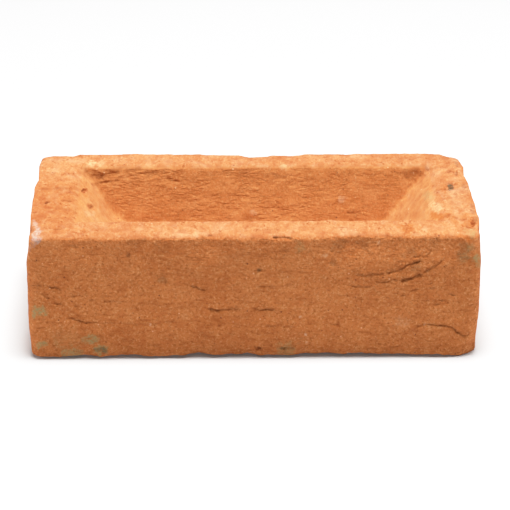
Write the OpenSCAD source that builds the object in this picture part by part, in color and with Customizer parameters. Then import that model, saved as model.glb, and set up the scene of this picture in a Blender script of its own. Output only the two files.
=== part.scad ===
// Clay facing brick with a single deep frog, pressed by hand in a sanded mould.
// One fired solid. It lies on its lower bed with the frog facing up.
// The origin is in the middle of the lower bed: X runs along the stretcher,
// Y across the header and Z up. All sizes are in millimetres.

/* [Brick] */
// Length of the stretcher, along X
brick_length = 215; // [190:0.5:290]
// Width of the header, along Y
brick_width = 102.5; // [90:0.5:140]
// Height from the lower bed to the upper bed, along Z
brick_height = 65; // [50:0.5:90]

/* [Corners and arrises] */
// Radius of the four upright corners, seen from above
corner_radius = 6; // [4.5:0.5:12]
// Radius of the worn arris round the upper bed
upper_arris_radius = 2; // [1:0.25:4]
// Radius of the struck arris round the lower bed
lower_arris_radius = 2; // [1:0.25:4]

/* [Frog] */
// Flat land between the frog and the left header
left_land = 22; // [12:0.5:35]
// Flat land between the frog and the right header
right_land = 19; // [12:0.5:35]
// Flat land between the frog and the front stretcher
front_land = 19; // [12:0.5:28]
// Flat land between the frog and the back stretcher
back_land = 17.5; // [12:0.5:28]
// Depth of the frog below the upper bed
frog_depth = 31; // [10:0.5:35]
// Lean of the two end walls from upright, in degrees
end_wall_lean = 38; // [10:1:50]
// Lean of the two side walls from upright, in degrees
side_wall_lean = 15; // [5:1:25]
// Radius of the rounded rim where the walls meet the upper bed
rim_radius = 2.5; // [1:0.25:5]
// Radius of the fillet between the walls and the floor
floor_radius = 4; // [2:0.5:8]

/* [Hidden] */

// Facets of a circle in the preview
$fn = 48;
// How far a cut or a fillet reaches past the face it starts from
overrun = 5;
// Angle at which a round of the frog crosses the faces it joins
crossing_angle = 4;
clay = "#c8743c";

frog_length = brick_length - left_land - right_land;
frog_width = brick_width - front_land - back_land;
frog_middle = [(left_land - right_land) / 2, (front_land - back_land) / 2, brick_height];

// Distance from a sharp corner to where a round of this radius meets either side,
// for a corner that opens at a right angle plus the lean of the wall.
function tangent_length(radius, lean) = radius / tan((90 + lean) / 2);

// The point on a leaning wall at a given drop below the rim, at half_span from the middle.
function wall_point(half_span, drop, lean) = [half_span - drop * tan(lean), -drop];

// Right half of an upright section of the block, from the middle to half_span.
module half_section(half_span) {
  waist = brick_height / 2;
  square([half_span - lower_arris_radius, waist]);
  translate([0, waist])
    square([half_span - upper_arris_radius, brick_height - waist]);
  translate([0, lower_arris_radius])
    square([half_span, brick_height - lower_arris_radius - upper_arris_radius]);
  translate([half_span - lower_arris_radius, lower_arris_radius])
    circle(lower_arris_radius);
  translate([half_span - upper_arris_radius, brick_height - upper_arris_radius])
    circle(upper_arris_radius);
}

module full_section(half_span) {
  half_section(half_span);
  mirror([1, 0])
    half_section(half_span);
}

// One upright corner of the block, turned so that its arrises run round the corner.
module corner_post() {
  rotate_extrude()
    intersection() {
      half_section(corner_radius);
      square([corner_radius, brick_height]);
    }
}

// The pressed block before the frog: two crossing sections and four turned corners.
module block() {
  corner_x = brick_length / 2 - corner_radius;
  corner_y = brick_width / 2 - corner_radius;
  rotate([90, 0, 90])
    linear_extrude(2 * corner_x, center = true)
      full_section(brick_width / 2);
  rotate([90, 0, 0])
    linear_extrude(2 * corner_y, center = true)
      full_section(brick_length / 2);
  for (x = [-corner_x, corner_x], y = [-corner_y, corner_y])
    translate([x, y, 0])
      corner_post();
}

// A round of the frog, drawn a hair full so that it crosses the two faces it joins.
module crossing_round(radius) {
  circle(radius / cos(crossing_angle));
}

// What the floor's fillet leaves in the lower right corner of the frog.
// It reaches past the wall and the floor, so that it is part of the solid round it.
module floor_fillet(half_span, lean) {
  corner = wall_point(half_span, frog_depth, lean);
  outer = floor_radius + overrun;
  translate(corner + [-tangent_length(floor_radius, lean), floor_radius])
    difference() {
      polygon([
        [0, 0],
        outer * [cos(lean), -sin(lean)],
        [tangent_length(outer, lean), -outer],
        [0, -outer]
      ]);
      crossing_round(floor_radius);
    }
}

// Upright section of the frog's cutter, hung from the upper bed at zero.
// The cutter flares at its mouth, where the rim's round is left standing.
module frog_section(span, lean) {
  half_span = span / 2;
  reach = tangent_length(rim_radius, lean);
  mouth = half_span + reach;
  right_side = [
    [mouth, overrun],
    [mouth, -rim_radius],
    wall_point(half_span, reach * cos(lean), lean),
    wall_point(half_span, frog_depth, lean)
  ];
  left_side = [for (i = [len(right_side) - 1:-1:0]) [-right_side[i].x, right_side[i].y]];
  difference() {
    polygon(concat(right_side, left_side));
    for (side = [0, 1])
      mirror([side, 0]) {
        translate([mouth, -rim_radius])
          crossing_round(rim_radius);
        floor_fillet(half_span, lean);
      }
  }
}

// The frog's cutter: the long section and the cross section, where they meet.
module frog() {
  translate(frog_middle)
    intersection() {
      rotate([90, 0, 0])
        linear_extrude(brick_width, center = true)
          frog_section(frog_length, end_wall_lean);
      rotate([90, 0, 90])
        linear_extrude(brick_length, center = true)
          frog_section(frog_width, side_wall_lean);
    }
}

module brick() {
  color(clay)
    difference() {
      block();
      frog();
    }
}

brick();
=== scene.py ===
"""Looks of the frogged clay brick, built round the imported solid."""

import itertools
import math

import bmesh
import bpy
import numpy as np
from mathutils import Matrix, Vector
from mathutils.bvhtree import BVHTree


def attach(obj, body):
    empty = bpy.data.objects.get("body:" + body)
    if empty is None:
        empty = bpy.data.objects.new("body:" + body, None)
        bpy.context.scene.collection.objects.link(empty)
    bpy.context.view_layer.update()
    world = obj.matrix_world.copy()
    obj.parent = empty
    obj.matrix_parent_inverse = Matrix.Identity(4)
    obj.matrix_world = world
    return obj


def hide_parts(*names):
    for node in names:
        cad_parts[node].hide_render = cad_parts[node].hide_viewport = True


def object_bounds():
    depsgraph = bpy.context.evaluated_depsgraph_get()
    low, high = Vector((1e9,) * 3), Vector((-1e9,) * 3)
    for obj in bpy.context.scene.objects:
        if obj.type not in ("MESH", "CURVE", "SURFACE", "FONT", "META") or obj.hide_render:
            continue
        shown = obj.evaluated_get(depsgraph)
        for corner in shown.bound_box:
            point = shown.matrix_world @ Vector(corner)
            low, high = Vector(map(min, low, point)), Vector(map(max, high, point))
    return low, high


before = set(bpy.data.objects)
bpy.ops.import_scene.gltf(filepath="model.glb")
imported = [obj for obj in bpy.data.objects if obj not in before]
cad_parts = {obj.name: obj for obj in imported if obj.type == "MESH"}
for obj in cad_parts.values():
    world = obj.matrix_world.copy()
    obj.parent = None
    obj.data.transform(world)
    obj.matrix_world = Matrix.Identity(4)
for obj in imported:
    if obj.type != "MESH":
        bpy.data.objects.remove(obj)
cad_low, cad_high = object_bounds()

# Lengths are in millimetres unless a name or a comment says otherwise; the scene itself is in metres
MM = 0.001
half_length, half_width, height = np.array(cad_high) / MM
centre = np.array([0, 0, height / 2])
half_sizes = np.array([half_length, half_width, height / 2])

# Sizes of the solid that its box doesn't give
LEFT_LAND, RIGHT_LAND, FRONT_LAND, BACK_LAND = 22, 19, 19, 17.5
CORNER_RADIUS = 6
END_WALL_LEAN = math.radians(38)
FROG_ENDS = (LEFT_LAND - half_length, half_length - RIGHT_LAND)
FROG_SIDES = (FRONT_LAND - half_width, half_width - BACK_LAND)

# The frog lies inside this margin, which is narrower than any land, and between these depths
LAND_MARGIN = 9
FROG_TOP, FROG_BOTTOM = 0.5, 35

# Camera, fitted to the photograph
PHOTO_SIDE_PX = 510
FOCAL_PX = 2655
SENSOR_WIDTH = 36
CAMERA_ELEVATION = math.radians(24.87)
CAMERA_AZIMUTH = math.radians(-0.25)
CAMERA_ROLL = math.radians(0.15)
CAMERA_DISTANCE = 1280
CAMERA_AIM = np.array([0.8, -20.0, 40.8])

# Factors that turn a place of the noise's grid and a seed into random bits, and the noise's gain
HASH_FACTORS = np.array([374761393, 668265263, 1440662683])
HASH_SEED_FACTOR = 974634533
HASH_MIXES = ((13, 1274126177), (16, 2246822519))
HASH_MASK = 0xFFFFFFFF
SLOPE_SHIFTS, SLOPE_MASK = (2, 12, 22), 0x3FF
NOISE_GAIN = 1.3

# Even grid of the clay's surface: its long edges are cut again near creases and small spots
GRID_STEP = 1.28
SHORT_EDGE = 0.9
PLACED_CREASE_ZONE, PLACED_CREASE_CUTS = 1.6, 2
HIDDEN_CREASE_ZONE, HIDDEN_CREASE_CUTS = 1.3, 1
SPOT_MARGIN, SPOT_CUTS = 0.6, 1
WIDE_SPOT = 4

# How far a spot that looks round in the photograph reaches along each axis, in its radii
SEEN_REACH = np.array([1.5, 3.2, 1.6])

# Share of the depths and lips below that is modelled, how far a crease and its lip reach from its line,
# the length over which it fades at its ends, the lip's fade and where it grows, and which way is above
CREASE_SHARE = 0.6
CREASE_REACH = 6
CREASE_FADE = 1.6
LIP_FADE = 1.6
LIP_SPAN = (-0.1, 0.5)
CREASE_UP = (0, 0.4, 1)

# Creases wander off their lines, and vary in depth and width: mean, swing, least, most.
# A noise is given by the distance between its largest lumps, its seed, its layers and its stretch
CREASE_WANDER, WANDER_NOISE = 0.8, (2.4, 400, 2)
CREASE_DEPTHS, DEPTH_NOISE = (0.9, 1.1, 0.3, None), (4.5, 71, 2)
CREASE_WIDTHS, WIDTH_NOISE = (0.95, 1.3, 0.5, 1.8), (6, 72, 2)

# Random creases of the sides that the photograph doesn't show:
# which way the side faces, half spans of the places along and across it, how many, their length
HIDDEN_CREASES = [
    ((0, 1, 0), (85, 26), 11, 26),
    ((-1, 0, 0), (36, 25), 4, 20),
    ((1, 0, 0), (36, 25), 4, 20),
    ((0, 0, -1), (85, 38), 6, 30),
    ((0, 0, 1), (50, 16), 4, 18),
]
HIDDEN_SEED = 7
HIDDEN_WIDTH, HIDDEN_DEPTHS, HIDDEN_LIP = 0.7, (0.5, 1.1), 0.35
HIDDEN_STEPS, HIDDEN_STRETCH = (3, 6), (0.8, 1.2)
HIDDEN_SLOPE, HIDDEN_JITTER = 0.15, 0.7

# How far off the rays that place them start
FAR_OFF = 200

# Creases that the photograph shows: width, depth, lip above it, points in pixels
CREASES_PX = {
    "front_right": [
        (0.55, 0.8, 0.4, [(354, 275), (361, 274.5), (366, 275.5), (375, 274), (385, 273.5)]),
        (0.75, 1.3, 0.6, [
            (385, 273.5), (392, 271.5), (398, 270.5), (404, 266), (411, 263.5), (415, 262.5), (421, 259.5),
        ]),
        (0.45, 0.5, 0.2, [(421, 259.5), (426, 256), (432, 251)]),
        (0.5, 0.6, 0.3, [(347, 284.5), (353, 286), (360, 286.5), (366, 286.8), (371, 285.5)]),
        (0.65, 0.9, 0.5, [(374, 283.5), (378, 282), (387, 281.5), (393, 279.5), (399, 280.5)]),
        (1.0, 1.7, 0.8, [(399, 280.5), (405, 279.5), (410, 277.5), (417, 276), (422, 272.5)]),
        (0.6, 0.9, 0.5, [(422, 272.5), (427, 270), (434, 266), (439, 263), (443, 259.5)]),
        (0.5, 0.8, 0.3, [(411, 257.5), (415, 257), (421, 256)]),
        (0.5, 0.9, 0.3, [
            (414, 326.5), (421, 325), (428, 324), (442, 325), (451, 326.5), (456, 331), (461, 335),
            (471, 336.5),
        ]),
        (0.45, 0.8, 0.2, [(425, 285), (429, 283.5), (433, 282)]),
        (0.45, 0.8, 0.2, [(399, 296), (403, 295.5), (407, 295)]),
        (0.45, 0.8, 0.2, [(408, 291), (414, 289.5), (420, 288.5)]),
        (0.45, 0.8, 0.2, [(447, 293), (452, 295), (456, 294.5)]),
        (0.4, 0.55, 0.2, [(418, 299), (425, 300.5), (431, 298.5)]),
        (0.45, 0.5, 0.2, [(466, 306), (472, 304.5), (478, 304)]),
        (0.4, 0.5, 0.2, [(437, 298.5), (442, 301), (445, 300), (449, 304)]),
        (0.45, 0.6, 0.2, [(428, 288.5), (432, 287.5), (436, 288.5)]),
        (0.4, 0.5, 0.2, [(429, 303.5), (435, 304.5), (441, 304)]),
    ],
    "front_middle": [
        (0.6, 1.1, 0.5, [(207, 308.5), (212, 308.5), (217, 310.5), (225, 309.5), (240, 308.5)]),
        (0.6, 1.1, 0.5, [(250, 308), (255, 308.5), (260, 310.5), (265, 309), (275, 309.5)]),
        (0.5, 0.8, 0.3, [(187, 285.5), (194, 286.5), (201, 289), (206, 291)]),
        (0.4, 0.45, 0.2, [(329, 324), (335, 324.5), (341, 324)]),
        (0.4, 0.4, 0.2, [(263, 326), (279, 325.5), (295, 326.5)]),
        (0.4, 0.4, 0.2, [(255, 285), (262, 286), (277, 286.5), (293, 284.5)]),
        (0.7, 1.4, 0.7, [(270, 236.5), (281, 237), (287, 237.5), (293, 238)]),
    ],
    "front_left": [
        (0.5, 0.8, 0.3, [(66, 317.5), (73, 318.5), (77, 320), (85, 322), (91, 321.5), (98, 322.5)]),
        (0.4, 0.25, 0.1, [(98, 322.5), (120, 323.5), (150, 324.5), (163, 322), (178, 321)]),
        (0.5, 0.9, 0.3, [(46, 285.5), (51, 287.5), (55, 287.5), (62, 290.5)]),
        (0.5, 0.8, 0.2, [(30, 285.5), (36, 285), (43, 286.5)]),
        (0.5, 0.9, 0.2, [(39, 292), (44, 296), (50, 298.5)]),
        (0.5, 1.0, 0.2, [(69, 295.5), (72, 296.5), (76, 296.5)]),
        (0.5, 1.0, 0.2, [(87, 299.5), (91, 300), (97, 299.5)]),
        (0.45, 0.7, 0.2, [(101, 302), (112, 301), (126, 301)]),
        (0.5, 1.0, 0.2, [(52, 302.5), (57, 303.5), (63, 304)]),
        (0.5, 0.8, 0.2, [(72, 306), (77, 306.5), (83, 307)]),
        (0.4, 0.5, 0.2, [(37, 275.5), (41, 277.5), (45, 279.5)]),
    ],
    "front_foot": [
        (0.45, 0.5, 0.2, [(145, 344.5), (154, 346), (161, 349)]),
        (0.6, 1.0, 0.3, [(279, 349), (287, 348.5), (296, 349.5)]),
        (0.9, 1.0, 0.3, [(255, 350), (258, 349), (262, 350.5)]),
        (0.4, 0.5, 0.2, [(364, 351), (380, 349), (401, 347.5)]),
    ],
    "left_land": [
        (0.8, 1.3, 0.3, [(41, 202.5), (45, 201.5), (50, 200)]),
        (0.7, 1.2, 0.3, [(59, 199.5), (63, 199), (67, 199), (73, 198)]),
        (0.8, 0.7, 0.2, [(49, 211), (52, 211.3), (55, 211)]),
        (1.1, 1.1, 0.3, [(52, 228.5), (57, 228), (61, 227.5), (66, 226)]),
        (1.0, 0.5, 0.2, [(41, 220.5), (50, 218), (60, 216.5)]),
        (1.0, 0.5, 0.2, [(52, 208), (60, 207), (72, 208)]),
        (0.9, 0.7, 0.3, [(64, 236), (70, 235.6), (76, 236)]),
        (1.0, 0.7, 0.3, [(80, 231), (83, 230), (87, 231)]),
        (2.0, 0.7, 0.5, [(38, 187), (48, 188), (58, 187), (70, 187.5), (79, 186)]),
    ],
    "right_land": [
        (0.9, 0.8, 0.4, [(432, 188.5), (440, 187.5), (450, 188)]),
        (1.6, 0.8, 0.5, [(441, 213), (445, 213.5), (451, 214.5)]),
        (1.1, 0.8, 0.4, [(452, 216), (461, 219), (468, 218)]),
        (0.9, 0.7, 0.3, [(446, 171), (453, 170), (459, 172)]),
        (1.0, 0.8, 0.4, [(466, 224), (470, 227), (476, 226)]),
        (1.0, 0.6, 0.3, [(440, 196), (447, 197.5), (453, 196)]),
    ],
    "back_and_front_lands": [
        (0.9, 0.5, 0.2, [(424, 167), (436, 165.5), (448, 166.5)]),
        (1.2, 0.8, 0.3, [(205, 236), (209, 235), (213, 236)]),
        (0.9, 0.5, 0.2, [(256, 230), (268, 228.5), (281, 229.5)]),
        (0.9, 0.5, 0.2, [(330, 228), (340, 227), (349, 228)]),
        (0.9, 0.6, 0.2, [(178, 229.5), (183, 229), (188, 229.5)]),
    ],
    "frog_walls": [
        (1.8, 0.7, 0.45, [
            (82, 171.5), (88, 173.5), (97, 175.5), (106, 174), (118, 171), (128, 169.5), (142, 168.5),
        ]),
        (1.7, 0.35, 0.4, [
            (98, 177.5), (110, 177.5), (120, 176.5), (128, 175), (140, 173), (152, 172), (170, 171),
        ]),
        (1.5, 0.65, 0.4, [(91, 183), (97, 182.5), (103, 182), (110, 181.5), (120, 180)]),
        (1.2, 0.4, 0.4, [(165, 178), (172, 179.5), (180, 181)]),
        (3.0, 0.4, 0.2, [(402, 176), (408, 174), (414, 172), (420, 171.5)]),
        (1.0, 0.4, 0.4, [(274, 176), (281, 177), (288, 178)]),
        (1.0, 0.4, 0.4, [(345, 212), (353, 213), (362, 213)]),
    ],
}

# Hollows that the photograph shows: place in pixels, radius, depth
HOLLOWS_PX = [
    ((84, 188.5), 0.9, 1.1), ((89, 204.5), 0.9, 0.8), ((92.5, 207), 1.0, 1.0), ((473.5, 222.5), 1.8, 1.4),
    ((469, 238), 1.3, 0.8), ((81, 229.5), 0.9, 0.5), ((464, 209), 0.9, 0.5), ((469, 211), 0.9, 0.5),
    ((459, 212), 0.8, 0.4), ((424, 175), 1.2, 0.5), ((258.5, 270), 0.9, 0.8), ((128, 255), 0.8, 0.7),
    ((433, 262.5), 0.7, 0.5), ((218.5, 326), 0.7, 0.5), ((267, 335), 0.7, 0.5), ((337, 323.5), 1.2, 0.5),
    ((43, 220), 0.9, 0.6), ((451, 186), 1.0, 0.6), ((407, 228), 2.6, 0.5), ((161, 280), 2.6, 0.4),
    ((332, 263), 1.5, 0.4), ((292, 317), 0.7, 0.4),
]

# Marks that the photograph shows: place in pixels, radius, strength
MARKS_PX = {
    "lichen": [
        ((35, 311), 2.5, 1.0), ((40.5, 310.8), 2.8, 1.0), ((38.5, 344.5), 1.9, 0.95), ((43, 344), 1.8, 0.8),
        ((85.5, 340.5), 2.2, 0.65), ((90.5, 340), 2.5, 0.9), ((94.5, 339.5), 2.2, 0.9),
        ((60, 341), 6.0, 0.14), ((72, 340.5), 6.0, 0.14), ((64, 354.5), 2.8, 0.7), ((71, 354), 3.2, 0.8),
        ((78, 354.5), 2.4, 0.6), ((98, 351.5), 2.4, 0.95), ((103.5, 350.5), 2.3, 0.9),
        ((476, 258), 2.2, 0.9), ((472, 233), 2.4, 0.6), ((283, 166), 1.8, 0.3), ((300, 247), 3.2, 0.35),
        ((427, 194), 3.0, 0.45), ((285, 352), 5.0, 0.45), ((55, 343), 2.2, 0.3), ((478, 265), 1.8, 0.5),
        ((468, 231), 1.6, 0.4), ((475, 230.5), 1.4, 0.5), ((470, 247), 2.2, 0.5), ((464, 258), 2.4, 0.35),
    ],
    # Dark grey soot, partly painted shade laid over hollows of the clay
    "soot_and_painted_shade": [
        ((97.5, 350.5), 1.6, 0.65), ((103, 351.5), 1.7, 0.7), ((464, 249), 3.2, 0.35),
        ((258.5, 270), 1.2, 0.6), ((128, 255), 1.0, 0.35), ((451, 186), 2.1, 1.0), ((339, 245), 3.4, 0.3),
        ((362, 244), 3.4, 0.22), ((410, 251), 2.6, 0.25), ((161, 280), 2.2, 0.35), ((434, 242), 3.0, 0.2),
        ((285, 249), 2.6, 0.12), ((135, 242), 4.0, 0.15), ((161, 246), 4.0, 0.15), ((332, 263), 1.6, 0.3),
        ((462, 257), 2.6, 0.25), ((415, 267), 3.0, 0.25), ((466, 185), 1.5, 0.35), ((460, 163), 1.4, 0.4),
        ((460.5, 173), 1.3, 0.4), ((473, 205), 1.3, 0.3), ((474, 211), 1.4, 0.4), ((476.5, 219), 1.3, 0.4),
    ],
    "bloom": [
        ((31, 223), 1.8, 0.7), ((32, 228), 2.2, 0.9), ((33, 233), 2.4, 1.0), ((35, 238), 2.4, 1.0),
        ((32, 243), 1.8, 0.6), ((28, 248), 1.5, 0.4),
    ],
    "cream": [
        ((435.5, 203.5), 3.0, 0.35), ((438, 204), 2.0, 0.4), ((91, 163), 2.4, 0.5),
        ((100, 163.5), 2.0, 0.3), ((283, 166), 1.8, 0.35), ((455, 199), 5.0, 0.1), ((56, 172), 7.0, 0.06),
    ],
    "chalk": [
        ((91, 213), 1.7, 0.4), ((425, 229), 1.6, 0.35), ((195, 235), 2.0, 0.35), ((150, 324.5), 0.6, 0.9),
        ((305, 334.5), 0.6, 0.9), ((306, 343), 0.6, 0.7), ((299.5, 316), 0.6, 0.8),
        ((378.5, 244), 0.8, 0.7), ((322, 255), 0.7, 0.5), ((326, 255), 0.7, 0.5), ((402, 322), 3.6, 0.2),
        ((253, 212.5), 1.6, 0.5), ((341, 199), 1.8, 0.75), ((87, 213), 1.6, 0.3), ((424, 324), 0.6, 0.5),
    ],
    "rust": [
        ((56, 199), 14, 0.55), ((473, 222.5), 2.4, 1.0), ((469, 238.5), 1.8, 0.8), ((407, 228), 3.0, 1.0),
        ((434, 213), 2.2, 0.9), ((440, 213.5), 2.2, 1.0), ((446, 214), 1.9, 0.8), ((463, 214), 2.8, 0.6),
        ((444, 187), 1.9, 0.6), ((465, 225), 1.9, 0.6), ((460, 237), 1.8, 0.6), ((57, 227.5), 2.8, 0.6),
        ((83, 230), 1.9, 0.6), ((455, 219), 2.4, 0.6), ((53, 208), 3.0, 0.6), ((70, 201), 3.0, 0.5),
    ],
    # Burnt spots, partly painted shade: in hollows, a painted shadow at the right end of the frog's back
    # wall, and a darker foot
    "burnt_and_painted_shade": [
        ((84, 188.5), 1.4, 1.0), ((451.5, 186.5), 1.1, 0.4), ((90.5, 206), 1.3, 0.8),
        ((474, 222), 1.4, 0.8), ((407, 228.5), 2.4, 0.3), ((45, 201.5), 1.0, 0.7), ((128, 255), 1.2, 0.4),
        ((413, 172), 2.6, 0.35), ((407, 174.5), 2.4, 0.3), ((99, 175.5), 2.2, 0.35), ((337, 324), 1.2, 0.4),
        ((257, 350), 1.4, 0.6), ((261, 351), 1.0, 0.6), ((218.5, 326), 0.7, 0.5), ((270, 350), 6.0, 0.14),
        ((284, 350.5), 6.0, 0.16), ((297, 351), 5.0, 0.12),
    ],
}

# Edges as pixels of the photograph: the upper ones of the headers, the back and the front, and the lower one
LEFT_EDGE_PX = [
    (44.5, 156.4), (39.5, 159.8), (38, 165), (38, 174), (38, 181.5), (33.7, 188.5), (32.3, 198),
    (30.5, 210), (28.8, 224), (30.8, 232), (28.5, 239),
]
RIGHT_EDGE_PX = [
    (455, 155.5), (459.5, 158.5), (461.5, 163), (463.7, 167.5), (464, 177), (468.3, 184), (471.5, 197),
    (475, 205), (477.2, 216), (479.2, 220), (478.2, 230), (479.2, 238),
]
BACK_EDGE_PX = [
    (56, 155.5), (73, 156), (80, 154), (112, 154), (136, 153.2), (208, 154), (240, 155.2), (256, 157.4),
    (272, 155), (298, 155), (306, 153.7), (350, 153.2), (404, 152.6), (440, 153.5), (449, 156),
]
FRONT_EDGE_PX = [
    (40, 239.5), (64, 238), (88, 237.8), (112, 238.5), (136, 237.8), (160, 239.5), (184, 237.7),
    (208, 236.8), (232, 238), (262, 238.5), (290, 238), (304, 237.5), (328, 236.8), (352, 235.7),
    (400, 236), (448, 235.8), (472, 237.7),
]
LOWER_EDGE_PX = [
    (28, 358), (36, 357.5), (44, 357), (60, 357), (72, 356.5), (86, 354.5), (98, 357), (108, 356),
    (128, 354.5), (150, 356.5), (180, 356), (197, 352.5), (213, 356), (222, 355), (232, 353), (248, 353),
    (262, 355.5), (292, 355), (304, 353), (326, 352.5), (341, 354.5), (356, 352.8), (378, 354.5),
    (398, 353.8), (430, 355), (452, 355), (462, 355),
]

# Edges of a mark are ragged, and its strength grows between these distances, in its radii
MARK_RAGGED, MARK_WAVELENGTH, FIRST_MARK_SEED = 1.2, 2.0, 131
MARK_SPAN = (1.15, 0.6)

# Edges of a hollow are ragged too
HOLLOW_RAGGED, HOLLOW_NOISE = 0.35, (2.5, 81, 2)

# How far a face has to turn from level to count as steep
STEEP_SPAN = (0.45, 0.8)

# Soft waves of the whole brick, humps, and lumps that lose height on steep faces
WAVE_HEIGHT, WAVE_MEAN, WAVE_NOISE = 0.3, 0.4, (80, 1, 2)
HUMP_HEIGHT, HUMP_NOISE = 0.25, (17, 11)
LUMP_HEIGHT, LUMP_LOSS, LUMP_NOISE = 0.6, 0.45, (5, 21, 2)

# Fine level folds and ridges of the steep faces, along bent lines: heights in the frog and outside
BEND, BEND_NOISE = 2.2, (26, 300, 2)
FOLD_HEIGHTS, FOLD_NOISE = (0.2, 0.1), (4.2, 31, 2, (2.4, 2.4, 1))
RIDGE_HEIGHTS, RIDGE_NOISE = (0.1, 0.05), (6, 41, 2, (2.2, 2.2, 1))

# Wear of the upper edges, the upright corners and the frog's rim: chips with small nicks, depths, reaches
CHIP_SPAN, CHIP_NOISE = (-0.3, 0.7), (13, 51)
NICK_SHARE, NICK_NOISE = 0.5, (4.5, 61, 2)
UPPER_WEAR, UPPER_WEAR_REACH = 0.25, 4.5
CORNER_WEAR, CORNER_WEAR_REACH = 0.5, 6
RIM_WEAR, RIM_WEAR_MEAN, RIM_BOTTOM = 0.35, 0.3, 8
RIM_TURN_START, RIM_TURN_MIDDLE, RIM_TURN_END = 0.25, 0.6, 0.97

# Soft bends of the rims at the frog's ends: size, blend into the side walls, how near the end wall
# a point has to be, and the depths between which the bend fades
END_BEND, END_MARGIN = 2.2, 5
END_SPAN = (3, 1)
BEND_DEPTHS = (24, 14)

# Scoop in the left end wall, beside the back wall: drop, depth of its middle, reach up and down,
# and the places across the brick between which it grows
SCOOP_DROP, SCOOP_DEPTH, SCOOP_REACH = 3.4, 19, 7
SCOOP_SPAN = (2, 28)

# The headers lean in at the foot: how far, from which height down, and how deep into the brick
HEADER_LEAN, HEADER_LEAN_TOP, HEADER_LEAN_REACH = 0.9, 22, 30

# The outline runs over the round arris a little below the upper bed, and inside the back
HEADER_EDGE_DROP, BACK_EDGE_DROP, BACK_EDGE_INSET, FRONT_EDGE_DROP = 1.6, 0.5, 1.1, 1.0

# Chips of the upper edges grow between these heights, and reach this far into the brick
EDGE_HEIGHTS, EDGE_REACH = (48, 62), 14

# Corners and edges worn away: place in half sizes from the middle, radius, depth.
# The clay moves in along the axes on which the place is at the end, or out where the depth is negative
WORN_PLACES = [
    ((-1.0, -1.0, 1.0), 7, 1.0), ((1.0, -1.0, 1.0), 8, 0.8), ((1.0, -1.0, -0.62), 14, 1.3),
    ((0.99, -1.0, -0.98), 15, 2.6), ((1.0, -1.0, -0.95), 9, 1.8), ((0.99, -1.0, -0.3), 15, 0.7),
    ((0.97, -0.95, -1.0), 14, -1.6), ((0.6, 1.0, -1.0), 10, 1.8), ((-1.0, 1.0, -1.0), 9, 1.6),
    ((1.0, 0.3, -1.0), 8, 1.4),
]
WORN_RAGGED, WORN_NOISE = 0.3, (9, 91)

# Ragged foot: drop of the model's lower edge below the photograph's, rise of the edge on the other sides,
# its crumbs, and how far into the brick the front's rise reaches
LOWER_EDGE_DROP_PX = 1.7
FOOT_RISE, FOOT_SWING, FOOT_NOISE = 0.8, 1.5, (15, 101, 2)
CRUMB_HEIGHT, CRUMB_NOISE = 0.8, (4, 111, 2)
FRONT_SPAN = (14, 4)

# Lift off the floor, as a share of the rise, and its reach up and in; set-back of the faces at the foot,
# at least and for each millimetre of rise, and its reach up and in
FOOT_LIFT, FOOT_LIFT_TOP, FOOT_LIFT_REACH = 0.3, 4, 6
FOOT_INSET, FOOT_SET_BACK, FOOT_SET_BACK_TOP, FOOT_SET_BACK_REACH = 0.6, 1.0, 16, 14

# Hollows of the lower bed, and how far a face has to turn down to count as that bed
BED_HOLLOW, BED_SWING, BED_NOISE = 0.25, 0.5, (22, 121)
BED_SPAN = (-0.5, -0.9)

# How far faces have to turn up, upright or into the frog, for the material's masks
UPWARD_SPAN, UPRIGHT_SPAN, FROG_SPAN = (0.4, 0.85), (0.5, 0.3), (0.03, 0.36)

# Scales of the material's coordinates, where a small one stretches what is drawn along that axis
MAPPINGS = {"level": (0.33, 0.33, 1.0), "creased": (0.4, 0.4, 1.0), "drawn": (1.0, 0.55, 1.0)}

# Noises of the material: mapping, wavelength, detail, roughness, distortion
CLAY_NOISES = {
    "patch": ("even", 48, 3, 0.55, 0),
    "blotch": ("even", 8, 4, 0.6, 0),
    "grain": ("drawn", 1.4, 3, 0.75, 0),
    "sand": ("drawn", 1.1, 3, 0.75, 0),
    "lumps": ("drawn", 2.6, 3, 0.6, 0),
    "mottle": ("drawn", 5, 4, 0.65, 0),
    "veins": ("drawn", 12, 3, 0.6, 0.8),
    "pit_shade": ("drawn", 2.2, 2, 0.6, 0),
    "waves": ("creased", 2.6, 2, 0.5, 0.25),
    "folded": ("even", 9, 2, 0.55, 0),
    "dashes": ("level", 1.6, 2, 0.6, 0.5),
    "broken": ("even", 1.5, 3, 0.7, 0),
}

# Colours are as a screen shows them, up to 255. The clay has patches of two oranges
DEEP_ORANGE, ORANGE = (174, 98, 50), (184, 108, 58)
PATCH_SPAN = (0.35, 0.65)

# Tints over the patches: noise, where it starts, where it is full, largest share, where it shows, colour
CLAY_TINTS = [
    ("blotch", 0.45, 0.75, 0.5, "everywhere", (194, 122, 72)),
    ("blotch", 0.5, 0.28, 0.4, "everywhere", (160, 88, 46)),
    ("sand", 0.5, 0.7, 0.65, "sandy", (212, 150, 98)),
    ("grain", 0.5, 0.29, 0.9, "sandy", (136, 71, 28)),
    ("mottle", 0.5, 0.75, 0.3, "land", (208, 148, 104)),
    ("mottle", 0.48, 0.28, 0.7, "land", (146, 76, 36)),
    ("veins", 0.55, 0.72, 0.3, "land", (210, 152, 108)),
    ("veins", 0.46, 0.3, 0.5, "land", (152, 78, 36)),
    # Painted shade of small pits on the upper bed
    ("pit_shade", 0.38, 0.27, 0.75, "land", (122, 60, 20)),
]

# Painted shade in the hollows between the lumps and a painted highlight on their crests, by the height of
# the lumps, in the same order without the noise
RELIEF_SHADE_AND_HIGHLIGHT = [
    (-0.05, -0.6, 0.2, "everywhere", (138, 72, 38)),
    (-0.12, -0.5, 0.5, "land", (140, 70, 32)),
    (0.05, 0.5, 0.2, "everywhere", (206, 136, 88)),
]

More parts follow.
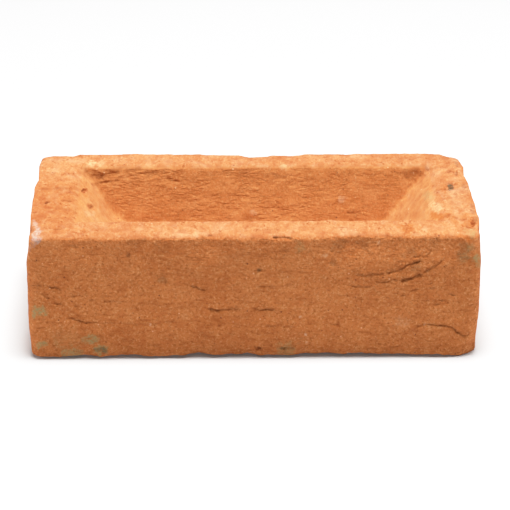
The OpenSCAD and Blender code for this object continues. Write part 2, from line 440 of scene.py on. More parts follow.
# Strengths outside the frog and in it: sand, what level clay takes off it, blotches of the upper bed,
# wavy folds, painted shade in the dashes
SAND, SAND_OFF, BLOTCHES, FOLDS, DASH_SHADE = (1, 0.6), (0.25, 0.8), (1, 1.2), (0.25, 1), (0.45, 0.15)

# Wavy folds lie where their noise is near its middle, in some places, and fade along the brick:
# width of a valley, span of the places, where the fade starts and ends, what is left
WAVE_MIDDLE, VALLEY_WIDTH, FOLDED_SPAN = 0.5, 0.18, (0.35, 0.55)
FOLD_FADE_START, FOLD_FADE_END, FOLD_FADE_LEFT = 20, 60, 0.45
# Painted shade in the fold valleys: its largest share and colour
FOLD_SHADE_SHARE, FOLD_SHADE_COLOUR = 0.12, (130, 68, 34)

# Short dashes of the steep faces: grooves in the bump, with painted shade in them
DASH_SPAN, DASH_SHADE_COLOUR = (0.47, 0.3), (138, 71, 28)

# Specks: distance between them, edge and core as shares of it, chances and colours of pale and dark ones
SPECK_STEP, SPECK_SPAN = 3.2, (0.16, 0.08)
PALE_ABOVE, PALE_COLOUR = 0.93, (206, 146, 104)
DARK_BELOW, DARK_COLOUR = 0.14, (112, 62, 38)

# Painted light: colour factors that give level clay the paler, bluer look of its strong top light and
# brighten the frog's walls; and the painted shade of the creases
UPWARD_PAINTED_LIGHT_FACTORS, FROG_PAINTED_LIGHT_FACTORS = (0.88, 0.99, 1.2, 1), (1.06, 1.25, 1.33, 1)
CREASE_SHADE_SHARE, CREASE_SHADE_COLOUR = 0.6, (102, 52, 19)

# Marks cover the clay with a colour or multiply it by factors. A noise breaks them up:
# its span, and what is left of the covers and of the factors where it is low
BROKEN_SPAN, COVER_LEFT, FACTOR_LEFT = (0.37, 0.57), 0.15, 0.65
MARK_FACTORS = {"rust": (0.86, 0.68, 0.44, 1), "burnt_and_painted_shade": (0.41, 0.24, 0.13, 1), "soot_and_painted_shade": (0.24, 0.42, 0.6, 1)}
MARK_COLOURS = {
    "lichen": (149, 127, 84), "bloom": (168, 138, 124), "cream": (220, 176, 132), "chalk": (202, 156, 118),
}
MARK_ORDER = ("rust", "burnt_and_painted_shade", "lichen", "soot_and_painted_shade", "bloom", "cream", "chalk")

# Sockets of a node that mixes colours: share, first and second colour, and the result
MIX_INPUTS, MIX_OUTPUT = (0, 6, 7), 2

# Fine relief: heights of grain and lumps, less their mean, depths of dashes and folds,
# and what is left of it on the frog's ends and on its sides
GRAIN_RISE, LUMP_RISE, MEAN_RISE = 0.3, 0.7, 0.5
DASH_DEPTH, FOLD_DEPTH = 0.14, 0.175
FINE_LEFT = (0.2, 0.25)
CLAY_ROUGHNESS, CLAY_SPECULAR = 0.95, 0.15

# Studio, in metres and watts: the floor, whose glow is painted light that lifts the shadows under the brick,
# the light from all round, and lamps by place, size and power
FLOOR_HALF, FLOOR_GREY, FLOOR_PAINTED_GLOW = 3.0, 0.53, 0.06
WORLD_STRENGTH = 0.15
LAMPS = {
    "overhead": ((0.06, -0.11, 1.36), 0.55, 50),
    "left_fill": ((-2.0, 0.1, 0.4), 0.8, 21),
    "right_fill": ((2.0, 0.1, 0.4), 0.8, 17),
}

# A gentle shoulder, so that the lit top doesn't burn out: brightness, and how it shows
BRIGHTEST, WHITE = 3.0, 1.0
SHOULDER = [(0.6, 0.6), (0.8, 0.775), (1.0, 0.885), (1.15, 0.945), (1.25, 0.977), (1.36, 1.0)]
COMBINED_CURVE = 3


def camera_axes():
    """Place of the camera, and its right, up and back directions."""
    flat = math.cos(CAMERA_ELEVATION)
    back = np.array([
        math.sin(CAMERA_AZIMUTH) * flat,
        -math.cos(CAMERA_AZIMUTH) * flat,
        math.sin(CAMERA_ELEVATION),
    ])
    level = np.cross((0, 0, 1), back)
    level /= np.linalg.norm(level)
    upright = np.cross(back, level)
    right = math.cos(CAMERA_ROLL) * level - math.sin(CAMERA_ROLL) * upright
    return CAMERA_AIM + CAMERA_DISTANCE * back, right, np.cross(back, right), back


def pixel_ray(pixel):
    """Start and direction, in metres, of the line of sight through a pixel of the photograph."""
    place, right, up, back = camera_axes()
    across, down = (np.array(pixel) + 0.5 - PHOTO_SIDE_PX / 2) / FOCAL_PX
    return Vector(place * MM), Vector(across * right - down * up - back).normalized()


def random_slopes(cells, seed):
    """A random slope along each axis, from -1 to 1, at places of the noise's grid."""
    bits = (cells @ HASH_FACTORS + seed * HASH_SEED_FACTOR) & HASH_MASK
    for shift, factor in HASH_MIXES:
        bits = ((bits ^ (bits >> shift)) * factor) & HASH_MASK
    slopes = np.stack([(bits >> shift) & SLOPE_MASK for shift in SLOPE_SHIFTS], axis=1)
    return slopes / (SLOPE_MASK / 2) - 1


def gradient_noise(points, seed):
    """Smooth noise between about -1 and 1, with cells of unit size."""
    cells = np.floor(points).astype(np.int64)
    local = points - cells
    fade = local**3 * (local * (local * 6 - 15) + 10)
    total = np.zeros(len(points))
    for corner in itertools.product((0, 1), repeat=3):
        weight = np.prod(np.where(corner, fade, 1 - fade), axis=1)
        total += weight * ((local - corner) * random_slopes(cells + corner, seed)).sum(axis=1)
    return total * NOISE_GAIN


def cloud(points, wavelength, seed, layers=3, stretch=(1, 1, 1)):
    """Layered noise at these points, between about -1 and 1."""
    scaled = points / (wavelength * np.array(stretch))
    total = sum(gradient_noise(scaled * 2**k, seed + k) * 0.5**k for k in range(layers))
    return total / sum(0.5**k for k in range(layers))


def cloud_shift(points, wavelength, seed, layers):
    """A shift along each axis at these points, from a noise with three seeds."""
    return np.stack([cloud(points, wavelength, seed + axis, layers) for axis in range(3)], axis=1)


def smoothstep(low, high, values):
    """A smooth rise from 0 to 1 as the values go from low to high, or down to it."""
    share = np.clip((values - low) / (high - low), 0, 1)
    return share * share * (3 - 2 * share)


def bell(gap, reach):
    """A smooth fall from 1 to 0 as a gap grows past a reach."""
    return np.exp(-((gap / reach) ** 2))


def side_gap(points):
    """How far inside the nearest upright face points lie."""
    return np.minimum(half_length - np.abs(points[:, 0]), half_width - np.abs(points[:, 1]))


def mesh_points(mesh):
    flat = np.empty(len(mesh.vertices) * 3)
    mesh.vertices.foreach_get("co", flat)
    return flat.reshape(-1, 3) / MM


def mesh_normals(mesh):
    flat = np.empty(len(mesh.vertices) * 3, np.float32)
    mesh.vertex_normals.foreach_get("vector", flat)
    return flat.reshape(-1, 3).astype(float)


def even_copy(node):
    """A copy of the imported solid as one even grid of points."""
    source = bpy.data.objects.new("clay_source", node.data.copy())
    bpy.context.scene.collection.objects.link(source)
    remesh = source.modifiers.new("even_grid", "REMESH")
    remesh.mode = "VOXEL"
    remesh.voxel_size = GRID_STEP * MM
    bpy.context.view_layer.update()
    mesh = bpy.data.meshes.new_from_object(source.evaluated_get(bpy.context.evaluated_depsgraph_get()))
    bpy.data.objects.remove(source)
    mesh.name = "clay_brick"
    return mesh


def on_surface(tree, pixels):
    """Points of the smooth solid under these pixels of the photograph."""
    hits = [tree.ray_cast(*pixel_ray(pixel))[0] for pixel in pixels]
    return np.array([hit for hit in hits if hit is not None]) / MM


def on_plane(pixels, axis, level):
    """Points where the lines of sight through pixels meet the plane at a level of an axis."""
    points = []
    for pixel in pixels:
        start, ahead = pixel_ray(pixel)
        reach = (level * MM - start[axis]) / ahead[axis]
        points.append((start + ahead * reach) / MM)
    return np.array(points)


def placed_spots(tree, spots):
    """Spots with a point of the smooth solid in place of their pixel."""
    found = [(on_surface(tree, [pixel]), *sizes) for pixel, *sizes in spots]
    return [(points[0], *sizes) for points, *sizes in found if len(points)]


def hidden_lines(rng, tree, outward, spans, count, length):
    """Random creases on a side that the photograph doesn't show, running along the first span."""
    outward = np.array(outward)
    along = np.array((0, 1, 0) if outward[0] else (1, 0, 0))
    across = np.array((0, 1, 0) if outward[2] else (0, 0, 1))
    lines = []
    for _ in range(count):
        u, v = rng.uniform(-1, 1, 2) * spans
        steps = rng.integers(*HIDDEN_STEPS)
        slope = rng.normal(0, HIDDEN_SLOPE)
        points = []
        for k in range(steps + 1):
            offset = (k / steps - 0.5) * length * rng.uniform(*HIDDEN_STRETCH)
            sideways = v + slope * offset + rng.normal(0, HIDDEN_JITTER)
            spot = centre + outward * FAR_OFF + along * (u + offset) + across * sideways
            hit = tree.ray_cast(Vector(spot * MM), Vector(-outward))[0]
            if hit is not None:
                points.append(np.array(hit) / MM)
        if len(points) > 2:
            lines.append(np.array(points))
    return lines


def seen_gap(points, spot):
    """How far points lie from a spot, across the line of sight."""
    _, right, up, _ = camera_axes()
    return np.hypot((points - spot) @ right, (points - spot) @ up)


def nearest_on_line(points, line):
    """Nearest point of a line of straight pieces, its distance, and how far it is from the nearer end."""
    best = np.full(len(points), np.inf)
    along = np.zeros(len(points))
    nearest = np.zeros_like(points)
    lengths = np.linalg.norm(np.diff(line, axis=0), axis=1)
    starts = np.concatenate([[0], np.cumsum(lengths)])
    for start, end, length, before in zip(line[:-1], line[1:], lengths, starts):
        step = (end - start) / length
        reach = np.clip((points - start) @ step, 0, length)
        foot = start + reach[:, None] * step
        gap = np.linalg.norm(points - foot, axis=1)
        nearer = gap < best
        best[nearer] = gap[nearer]
        nearest[nearer] = foot[nearer]
        along[nearer] = before + reach[nearer]
    return nearest, best, np.minimum(along, starts[-1] - along)


def points_near(points, spots, reach):
    """Numbers of the points inside the box round these spots, made larger by a reach."""
    spots = np.atleast_2d(spots)
    inside = (points > spots.min(axis=0) - reach) & (points < spots.max(axis=0) + reach)
    return np.flatnonzero(inside.all(axis=1))


def near_lines(points, lines, zone):
    """Which points lie within a zone round any of the lines."""
    found = np.zeros(len(points), bool)
    for line in lines:
        chosen = points_near(points, line, zone)
        found[chosen] |= nearest_on_line(points[chosen], line)[1] < zone
    return found


def near_spots(points, spots, margin):
    """Which points lie within a margin round any of the spots."""
    found = np.zeros(len(points), bool)
    for spot, radius in spots:
        chosen = points_near(points, spot, (radius + margin) * SEEN_REACH)
        found[chosen] |= seen_gap(points[chosen], spot) < radius + margin
    return found


def refine(mesh, near, cuts):
    """Cuts the grid finer round the near points."""
    work = bmesh.new()
    work.from_mesh(mesh)
    near_faces = [face for face in work.faces if any(near[vertex.index] for vertex in face.verts)]
    near_edges = {edge for face in near_faces for edge in face.edges}
    chosen = [edge for edge in work.edges if edge in near_edges and edge.calc_length() > SHORT_EDGE * MM]
    bmesh.ops.subdivide_edges(work, edges=chosen, cuts=cuts, use_grid_fill=True)
    bmesh.ops.triangulate(work, faces=[face for face in work.faces if len(face.verts) > 4])
    work.to_mesh(mesh)
    work.free()


def varied(points, noise, mean, swing, least, most):
    """A value that swings about its mean with a noise, within limits."""
    return np.clip(mean + swing * cloud(points, *noise), least, most)


def crease_cuts(points, creases):
    """How far the creases and their lips move the clay at each point, and how much painted shade darkens
    them there.
    """
    wandered = points + CREASE_WANDER * cloud_shift(points, *WANDER_NOISE)
    depths = varied(points, DEPTH_NOISE, *CREASE_DEPTHS)
    widths = varied(points, WIDTH_NOISE, *CREASE_WIDTHS)
    cut = np.zeros(len(points))
    dark = np.zeros(len(points))
    for line, width, depth, lip in creases:
        chosen = points_near(points, line, CREASE_REACH)
        nearest, gap, from_end = nearest_on_line(wandered[chosen], line)
        strength = smoothstep(0, CREASE_FADE, from_end) * depths[chosen]
        above = (points[chosen] - nearest) @ CREASE_UP
        groove = strength * bell(gap, width * widths[chosen])
        raised = strength * np.exp(-gap / LIP_FADE) * smoothstep(*LIP_SPAN, above)
        cut[chosen] += CREASE_SHARE * (lip * raised - depth * groove)
        dark[chosen] = np.maximum(dark[chosen], min(depth, 1) * groove)
    return cut, dark


def hollow_cuts(points, hollows):
    """How far the hollows sink the clay at each point."""
    cut = np.zeros(len(points))
    ragged = 1 + HOLLOW_RAGGED * cloud(points, *HOLLOW_NOISE)
    for spot, radius, depth in hollows:
        chosen = points_near(points, spot, radius * SEEN_REACH)
        cut[chosen] += depth * bell(seen_gap(points[chosen], spot) * ragged[chosen], radius)
    return cut


def lump_heights(points, normals):
    """Height of the waves, humps, lumps, folds and ridges of the clay at each point."""
    top_gap = height - points[:, 2]
    in_frog = (side_gap(points) > LAND_MARGIN) & (top_gap > FROG_TOP) & (top_gap < FROG_BOTTOM)
    steep = smoothstep(*STEEP_SPAN, 1 - np.abs(normals[:, 2]))
    bent = points + BEND * cloud_shift(points, *BEND_NOISE)
    ridges = 1 - 2 * np.abs(cloud(bent, *RIDGE_NOISE))
    heights = WAVE_HEIGHT * (cloud(points, *WAVE_NOISE) - WAVE_MEAN)
    heights += HUMP_HEIGHT * cloud(points, *HUMP_NOISE)
    heights += (LUMP_HEIGHT - LUMP_LOSS * steep) * cloud(points, *LUMP_NOISE)
    heights += steep * np.where(in_frog, *FOLD_HEIGHTS) * cloud(bent, *FOLD_NOISE)
    heights += steep * np.where(in_frog, *RIDGE_HEIGHTS) * ridges
    return heights


def edge_wear(points, normals):
    """How far the edges, the corners and the frog's rim are worn down at each point."""
    x, y, z = points.T
    inside = side_gap(points)
    top_gap = height - z
    upright = 1 - np.abs(normals[:, 2])
    chips = smoothstep(*CHIP_SPAN, cloud(points, *CHIP_NOISE))
    ragged = chips + NICK_SHARE * np.abs(cloud(points, *NICK_NOISE))
    corner_gap = np.hypot(half_length - np.abs(x), half_width - np.abs(y))
    wear = UPPER_WEAR * ragged * bell(np.hypot(inside, top_gap), UPPER_WEAR_REACH)
    wear += CORNER_WEAR * ragged * bell(corner_gap, CORNER_WEAR_REACH)
    turn = smoothstep(RIM_TURN_START, RIM_TURN_MIDDLE, upright)
    turn *= smoothstep(RIM_TURN_END, RIM_TURN_MIDDLE, upright)
    on_rim = np.where((inside > LAND_MARGIN) & (top_gap < RIM_BOTTOM), turn, 0)
    return wear + on_rim * RIM_WEAR * (ragged - RIM_WEAR_MEAN)


def soften_frog_ends(points, moved):
    """Lets the lands fall softly into the frog's ends, and scoops out the left one."""
    x, y, z = points.T
    top_gap = height - z
    inward = np.minimum(x - FROG_ENDS[0], FROG_ENDS[1] - x)
    front, back = FROG_SIDES
    between = smoothstep(front - END_MARGIN, front + END_MARGIN, y)
    between *= smoothstep(back + END_MARGIN, back - END_MARGIN, y)
    fall = 1 / math.tan(END_WALL_LEAN)
    straight_fall = fall * np.clip(inward, 0, None)
    soft_fall = fall * END_BEND * np.logaddexp(0, inward / END_BEND)
    on_end = between * smoothstep(*END_SPAN, np.abs(top_gap - straight_fall))
    moved[:, 2] -= on_end * smoothstep(*BEND_DEPTHS, top_gap) * (soft_fall - top_gap)
    scoop = SCOOP_DROP * bell(top_gap - SCOOP_DEPTH, SCOOP_REACH)
    scoop *= smoothstep(*SCOOP_SPAN, y)
    moved[:, 2] -= on_end * np.where(x < 0, scoop, 0)


def header_set_back(edge, side, across):
    """How far inside the smooth outline a header's upper edge lies, at places across it."""
    seen = edge[np.argsort(edge[:, 1])]
    turn = np.clip(np.abs(seen[:, 1]) - (half_width - CORNER_RADIUS), 0, CORNER_RADIUS)
    smooth = half_length - CORNER_RADIUS + np.sqrt(CORNER_RADIUS**2 - turn**2)
    return np.interp(across, seen[:, 1], np.clip(smooth - side * seen[:, 0], 0, None))


def chip_upper_edges(points, moved):
    """Moves the upper edges in to the outline that the photograph shows."""
    x, y, z = points.T
    raised = smoothstep(*EDGE_HEIGHTS, z)
    for side, pixels in ((-1, LEFT_EDGE_PX), (1, RIGHT_EDGE_PX)):
        edge = on_plane(pixels, 2, height - HEADER_EDGE_DROP)
        set_back = header_set_back(edge, side, y)
        near_end = smoothstep(EDGE_REACH, 0, half_length - side * x)
        moved[:, 0] -= side * set_back * raised * near_end
    edge = on_plane(BACK_EDGE_PX, 1, half_width - BACK_EDGE_INSET)
    drop = np.interp(x, edge[:, 0], np.clip(height - BACK_EDGE_DROP - edge[:, 2], 0, None))
    moved[:, 2] -= drop * raised * smoothstep(EDGE_REACH, 0, half_width - y)
    edge = on_plane(FRONT_EDGE_PX, 2, height - FRONT_EDGE_DROP)
    set_back = np.interp(x, edge[:, 0], np.clip(edge[:, 1] + half_width, 0, None))
    moved[:, 1] += set_back * raised * smoothstep(EDGE_REACH, 0, half_width + y)


def wear_corners(points, moved):
    """Leans the headers in at the foot, and knocks off the worn places."""
    x, _, z = points.T
    end_gap = half_length - np.abs(x)
    lean = HEADER_LEAN * smoothstep(HEADER_LEAN_TOP, 0, z)
    moved[:, 0] -= np.sign(x) * lean * smoothstep(HEADER_LEAN_REACH, 0, end_gap)
    ragged = 1 + WORN_RAGGED * cloud(points, *WORN_NOISE)
    for shares, radius, depth in WORN_PLACES:
        gap = np.linalg.norm(points - (centre + shares * half_sizes), axis=1) * ragged
        inward = -np.sign(shares) * (np.abs(shares) == 1)
        moved += (inward / np.linalg.norm(inward)) * (depth * smoothstep(radius, 0, gap))[:, None]


def roughen_foot(points, normals, moved):
    """Lifts the lower edge off the floor between its lumps, and hollows the lower bed."""
    x, y, z = points.T
    lower_edge = on_plane([(u, v + LOWER_EDGE_DROP_PX) for u, v in LOWER_EDGE_PX], 1, -half_width)
    front_rise = np.interp(x, lower_edge[:, 0], lower_edge[:, 2])
    other_rise = FOOT_RISE + FOOT_SWING * cloud(points * (1, 1, 0), *FOOT_NOISE)
    front = smoothstep(*FRONT_SPAN, half_width + y)
    rise = front * front_rise + (1 - front) * other_rise + CRUMB_HEIGHT * cloud(points, *CRUMB_NOISE)
    rise = np.clip(rise, 0, None)
    near_side = bell(np.clip(side_gap(points), 0, None), FOOT_LIFT_REACH)
    moved[:, 2] += FOOT_LIFT * rise * bell(z, FOOT_LIFT_TOP) * near_side
    set_back = (FOOT_INSET + FOOT_SET_BACK * rise) * smoothstep(FOOT_SET_BACK_TOP, 0, z)
    set_back *= smoothstep(FOOT_SET_BACK_REACH, 0, half_width - np.abs(y))
    moved[:, 1] -= np.sign(y) * set_back
    under = smoothstep(*BED_SPAN, normals[:, 2])
    moved[:, 2] += under * np.clip(BED_HOLLOW + BED_SWING * cloud(points, *BED_NOISE), 0, None)
    moved[:, 2] = np.maximum(moved[:, 2], 0)


def mark_strength(points, spots, seed):
    """Strength of one kind of mark at each point."""
    strength = np.zeros(len(points))
    ragged = 1 + MARK_RAGGED * cloud(points, MARK_WAVELENGTH, seed)
    for spot, radius, most in spots:
        chosen = points_near(points, spot, radius * SEEN_REACH)
        gap = seen_gap(points[chosen], spot) / radius * ragged[chosen]
        strength[chosen] = np.maximum(strength[chosen], most * smoothstep(*MARK_SPAN, gap))
    return strength


def store(mesh, name, values):
    mesh.attributes.new(name, "FLOAT", "POINT").data.foreach_set("value", values.astype(np.float32))


def build_clay():
    """The worn clay as one mesh, with its marks as attributes."""
    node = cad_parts["brick"]
    mesh = even_copy(node)
    tree = BVHTree.FromObject(node, bpy.context.evaluated_depsgraph_get())

    # Creases, hollows and marks on the smooth solid
    rng = np.random.default_rng(HIDDEN_SEED)
    rows = sum(CREASES_PX.values(), [])
    placed = [(on_surface(tree, pixels), *sizes) for *sizes, pixels in rows]
    placed = [crease for crease in placed if len(crease[0]) > 1]
    hidden = [line for side in HIDDEN_CREASES for line in hidden_lines(rng, tree, *side)]
    creases = placed + [(line, HIDDEN_WIDTH, rng.uniform(*HIDDEN_DEPTHS), HIDDEN_LIP) for line in hidden]
    hollows = placed_spots(tree, HOLLOWS_PX)
    marks = {kind: placed_spots(tree, spots) for kind, spots in MARKS_PX.items()}

    # A finer grid where they are
    placed_lines = [crease[0] for crease in placed]
    refine(mesh, near_lines(mesh_points(mesh), placed_lines, PLACED_CREASE_ZONE), PLACED_CREASE_CUTS)
    refine(mesh, near_lines(mesh_points(mesh), hidden, HIDDEN_CREASE_ZONE), HIDDEN_CREASE_CUTS)
    spots = hollows + sum(marks.values(), [])
    small_spots = [(spot, radius) for spot, radius, _ in spots if radius < WIDE_SPOT]
    refine(mesh, near_spots(mesh_points(mesh), small_spots, SPOT_MARGIN), SPOT_CUTS)

    # Relief moves the grid along the solid's normals, and larger wear along the axes
    points = mesh_points(mesh)
    normals = mesh_normals(mesh)
    crease_cut, crease_shade = crease_cuts(points, creases)
    lumps = lump_heights(points, normals)
    shift = lumps - edge_wear(points, normals) + crease_cut - hollow_cuts(points, hollows)
    moved = points + normals * shift[:, None]
    soften_frog_ends(points, moved)
    chip_upper_edges(points, moved)
    wear_corners(points, moved)
    roughen_foot(points, normals, moved)
    mesh.vertices.foreach_set("co", (moved * MM).ravel())
    mesh.update()

    # What the material needs to know at each point
    turned = smoothstep(*FROG_SPAN, 1 - mesh_normals(mesh)[:, 2])
    in_frog = (side_gap(points) > LAND_MARGIN) & (height - points[:, 2] < FROG_BOTTOM)
    # The crease attribute holds the painted shade of the creases
    store(mesh, "crease", crease_shade)
    store(mesh, "relief", lumps)
    store(mesh, "upward", smoothstep(*UPWARD_SPAN, normals[:, 2]))
    store(mesh, "steep", smoothstep(*UPRIGHT_SPAN, np.abs(normals[:, 2])))
    store(mesh, "frog", in_frog * turned)
    for seed, (kind, spots) in enumerate(marks.items(), FIRST_MARK_SEED):
        store(mesh, kind, mark_strength(points, spots, seed))
    mesh.polygons.foreach_set("use_smooth", np.ones(len(mesh.polygons), bool))
    mesh.update()
    return mesh


def linear(red, green, blue):
    """A colour as the shaders take it, from its red, green and blue on a screen, up to 255."""
    parts = np.array((red, green, blue)) / 255
    parts = np.where(parts > 0.04045, ((parts + 0.055) / 1.055) ** 2.4, parts / 12.92)
    return (*parts.tolist(), 1.0)


class Shader:
    """Short ways to add nodes to one material."""

    def __init__(self, name):
        self.material = bpy.data.materials.new(name)
        self.material.use_nodes = True
        self.tree = self.material.node_tree
        self.surface = self.tree.nodes["Principled BSDF"]

    def node(self, kind, inputs=None, **settings):
        made = self.tree.nodes.new(kind)
        for name, value in settings.items():
            setattr(made, name, value)
        self.fill(made, inputs or {})
        return made

    def fill(self, node, inputs):
        for socket, value in inputs.items():
            self.put(node.inputs[socket], value)

    def put(self, socket, value):
        if isinstance(value, bpy.types.NodeSocket):
            self.tree.links.new(value, socket)
        else:
            socket.default_value = value

    def attribute(self, name):
        return self.node("ShaderNodeAttribute", attribute_name=name).outputs["Fac"]

    def noise(self, vector, wavelength, detail, roughness, distortion):
        return self.node("ShaderNodeTexNoise", {
            "Vector": vector, "Scale": 1 / (wavelength * MM), "Detail": detail,
            "Roughness": roughness, "Distortion": distortion,
        }).outputs["Fac"]

    def math(self, operation, first, second=0.0, third=0.0):
        made = self.node("ShaderNodeMath", operation=operation)
        for socket, value in zip(made.inputs, (first, second, third)):
            self.put(socket, value)
        return made.outputs[0]

    def times(self, first, second):
        return self.math("MULTIPLY", first, second)

    def span(self, value, low, high, to_low=0.0, to_high=1.0):
        return self.node("ShaderNodeMapRange", {
            "Value": value, "From Min": low, "From Max": high, "To Min": to_low, "To Max": to_high,
        }).outputs["Result"]

    def between(self, share, first, second):
        return self.span(share, 0, 1, first, second)

    def mix(self, share, first, second, blend="MIX"):
        made = self.node("ShaderNodeMix", data_type="RGBA", blend_type=blend)
        for index, value in zip(MIX_INPUTS, (share, first, second)):
            self.put(made.inputs[index], value)
        return made.outputs[MIX_OUTPUT]

    def tint(self, colour, driver, start, full, most, where, shade):
        """The colour with a shade over it where its driver is past the start."""
        share = self.span(driver, start, full, 0, most)
        if where is not None:
            share = self.times(where, share)
        return self.mix(share, colour, linear(*shade))


def clay_noises(clay, place):
    """Noise nodes of the clay by name."""
    maps = {"even": place}
    for name, scale in MAPPINGS.items():
        maps[name] = clay.node("ShaderNodeMapping", {"Vector": place, "Scale": scale}).outputs["Vector"]
    rows = CLAY_NOISES.items()
    return {name: clay.noise(maps[mapping], *settings) for name, (mapping, *settings) in rows}


def wavy_folds(clay, place, noises, steep, frog):
    """Strength of the wavy level folds, most of all on the frog's walls."""
    along = clay.node("ShaderNodeSeparateXYZ", {"Vector": place}).outputs["X"]
    from_middle = clay.math("ABSOLUTE", clay.math("SUBTRACT", noises["waves"], WAVE_MIDDLE))
    folds = clay.times(clay.span(from_middle, VALLEY_WIDTH, 0), clay.span(noises["folded"], *FOLDED_SPAN))
    folds = clay.times(folds, clay.span(along, FOLD_FADE_START * MM, FOLD_FADE_END * MM, 1, FOLD_FADE_LEFT))
    return clay.times(folds, clay.times(steep, clay.between(frog, *FOLDS)))


def add_specks(clay, place, colour):
    """Pale and dark specks over the colour."""
    specks = clay.node("ShaderNodeTexVoronoi", {"Vector": place, "Scale": 1 / (SPECK_STEP * MM)})
    chance = clay.node("ShaderNodeSeparateColor", {"Color": specks.outputs["Color"]}).outputs[0]
    near = clay.span(specks.outputs["Distance"], *SPECK_SPAN)
    pale = clay.times(near, clay.math("GREATER_THAN", chance, PALE_ABOVE))
    dark = clay.times(near, clay.math("LESS_THAN", chance, DARK_BELOW))
    return clay.mix(dark, clay.mix(pale, colour, linear(*PALE_COLOUR)), linear(*DARK_COLOUR))


def add_marks(clay, noises, colour):
    """Rust, soot, lichen and the other marks over the colour; the soot and burnt marks are partly painted
    shade.
    """
    cover = clay.span(noises["broken"], *BROKEN_SPAN, COVER_LEFT, 1)
    factor = clay.span(noises["broken"], *BROKEN_SPAN, FACTOR_LEFT, 1)
    for kind in MARK_ORDER:
        strength = clay.attribute(kind)
        if kind in MARK_FACTORS:
            colour = clay.mix(clay.times(strength, factor), colour, MARK_FACTORS[kind], "MULTIPLY")
        else:
            colour = clay.mix(clay.times(strength, cover), colour, linear(*MARK_COLOURS[kind]))
    return colour


def clay_material():
    """Sandy orange clay: patches, grain, specks and the marks of weather, with painted shade in creases,
    folds, dashes, pits and hollows, painted highlights on lumps, and painted light on the upper bed and in
    the frog.
    """
    clay = Shader("fired_clay")
    place = clay.node("ShaderNodeTexCoord").outputs["Object"]
    noises = clay_noises(clay, place)
    upward, frog, steep, relief = map(clay.attribute, ("upward", "frog", "steep", "relief"))
    folds = wavy_folds(clay, place, noises, steep, frog)
    dashes = clay.times(clay.span(noises["dashes"], *DASH_SPAN), steep)
    less_sand = clay.times(upward, clay.between(frog, *SAND_OFF))
    places = {
        "everywhere": None,
        "sandy": clay.math("SUBTRACT", clay.between(frog, *SAND), less_sand),
        "land": clay.times(upward, clay.between(frog, *BLOTCHES)),
    }

    colour = clay.mix(clay.span(noises["patch"], *PATCH_SPAN), linear(*DEEP_ORANGE), linear(*ORANGE))
    for noise, start, full, most, where, shade in CLAY_TINTS:
        colour = clay.tint(colour, noises[noise], start, full, most, places[where], shade)
    # Painted shade in the valleys of the folds
    colour = clay.mix(clay.times(folds, FOLD_SHADE_SHARE), colour, linear(*FOLD_SHADE_COLOUR))
    # Painted shade in the dashes
    dash_shade_share = clay.times(dashes, clay.between(frog, *DASH_SHADE))
    colour = clay.mix(dash_shade_share, colour, linear(*DASH_SHADE_COLOUR))
    colour = add_specks(clay, place, colour)
    # Painted shade in the hollows and painted highlight on the crests
    for start, full, most, where, shade in RELIEF_SHADE_AND_HIGHLIGHT:
        colour = clay.tint(colour, relief, start, full, most, places[where], shade)
    # Painted light: level clay paler and bluer, the frog's walls brighter
    colour = clay.mix(upward, colour, UPWARD_PAINTED_LIGHT_FACTORS, "MULTIPLY")
    colour = clay.mix(frog, colour, FROG_PAINTED_LIGHT_FACTORS, "MULTIPLY")
    # Painted shade in the creases
    crease_shade_share = clay.times(clay.attribute("crease"), CREASE_SHADE_SHARE)
    colour = clay.mix(crease_shade_share, colour, linear(*CREASE_SHADE_COLOUR))
    colour = add_marks(clay, noises, colour)

    # Fine relief, in millimetres about its mean, so that its strength can change without a step
    rise = clay.math("MULTIPLY_ADD", noises["grain"], GRAIN_RISE, -MEAN_RISE)
    rise = clay.math("MULTIPLY_ADD", noises["lumps"], LUMP_RISE, rise)
    rise = clay.math("MULTIPLY_ADD", dashes, -DASH_DEPTH, rise)
    rise = clay.times(rise, clay.between(frog, 1, clay.between(steep, *FINE_LEFT)))
    rise = clay.math("MULTIPLY_ADD", folds, -FOLD_DEPTH, rise)
    bump = clay.node("ShaderNodeBump", {"Height": rise, "Strength": 1.0, "Distance": MM})
    clay.fill(clay.surface, {
        "Base Color": colour, "Normal": bump.outputs["Normal"],
        "Roughness": CLAY_ROUGHNESS, "Specular IOR Level": CLAY_SPECULAR,
    })
    return clay.material


def add_object(name, data):
    made = bpy.data.objects.new(name, data)
    bpy.context.scene.collection.objects.link(made)
    return made


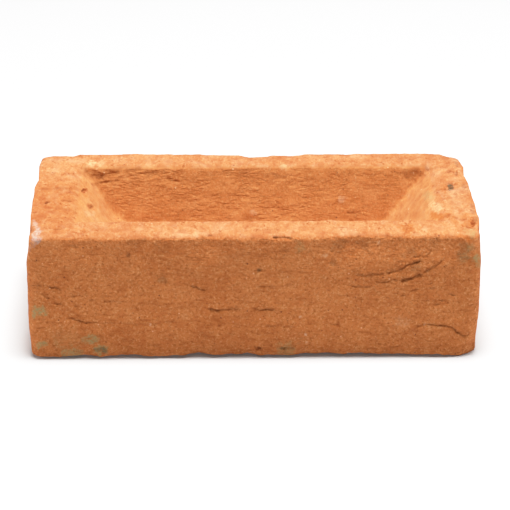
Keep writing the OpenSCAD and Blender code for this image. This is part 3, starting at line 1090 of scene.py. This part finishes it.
def add_floor():
    """A square sheet of pale paper that glows a little, painted light that lifts the shadows under the
    brick.
    """
    paper = Shader("floor_paper")
    paper.fill(paper.surface, {
        "Base Color": (FLOOR_GREY, FLOOR_GREY, FLOOR_GREY, 1), "Roughness": 1.0, "Specular IOR Level": 0.0,
        "Emission Color": (1, 1, 1, 1), "Emission Strength": FLOOR_PAINTED_GLOW,
    })
    corners = [(x * FLOOR_HALF, y * FLOOR_HALF, 0) for x, y in ((-1, -1), (1, -1), (1, 1), (-1, 1))]
    mesh = bpy.data.meshes.new("floor")
    mesh.from_pydata(corners, [], [(0, 1, 2, 3)])
    mesh.materials.append(paper.material)
    return add_object("floor", mesh)


def add_lamp(name, place, size, power):
    """A square soft lamp, turned to the brick."""
    data = bpy.data.lights.new(name, "AREA")
    data.shape = "SQUARE"
    data.size = size
    data.energy = power
    lamp = add_object(name, data)
    lamp.location = place
    lamp.rotation_euler = lamp.location.to_track_quat("Z", "Y").to_euler()


def add_world():
    """Weak white light from all round."""
    world = bpy.data.worlds.new("studio")
    world.use_nodes = True
    background = world.node_tree.nodes["Background"]
    background.inputs["Color"].default_value = (1, 1, 1, 1)
    background.inputs["Strength"].default_value = WORLD_STRENGTH
    bpy.context.scene.world = world


def add_camera():
    """A camera that sees the brick as the photograph does."""
    data = bpy.data.cameras.new("camera")
    data.sensor_width = SENSOR_WIDTH
    data.lens = FOCAL_PX / PHOTO_SIDE_PX * SENSOR_WIDTH
    camera = add_object("camera", data)
    place, right, up, back = camera_axes()
    camera.location = place * MM
    camera.rotation_euler = Matrix((right, up, back)).transposed().to_euler()
    bpy.context.scene.camera = camera


def set_view():
    """How brightness shows in the picture."""
    view = bpy.context.scene.view_settings
    view.view_transform = "Standard"
    view.use_curve_mapping = True
    view.curve_mapping.clip_max_x = BRIGHTEST
    view.curve_mapping.clip_max_y = WHITE
    curve = view.curve_mapping.curves[COMBINED_CURVE]
    curve.points[-1].location = (BRIGHTEST, WHITE)
    for bright, shown in SHOULDER:
        curve.points.new(bright, shown)
    view.curve_mapping.update()


mesh = build_clay()
mesh.materials.clear()
mesh.materials.append(clay_material())
brick = add_object("clay_brick", mesh)
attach(brick, "root")
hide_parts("brick")

floor = add_floor()
add_world()
for lamp_name, settings in LAMPS.items():
    add_lamp(lamp_name, *settings)
add_camera()
set_view()
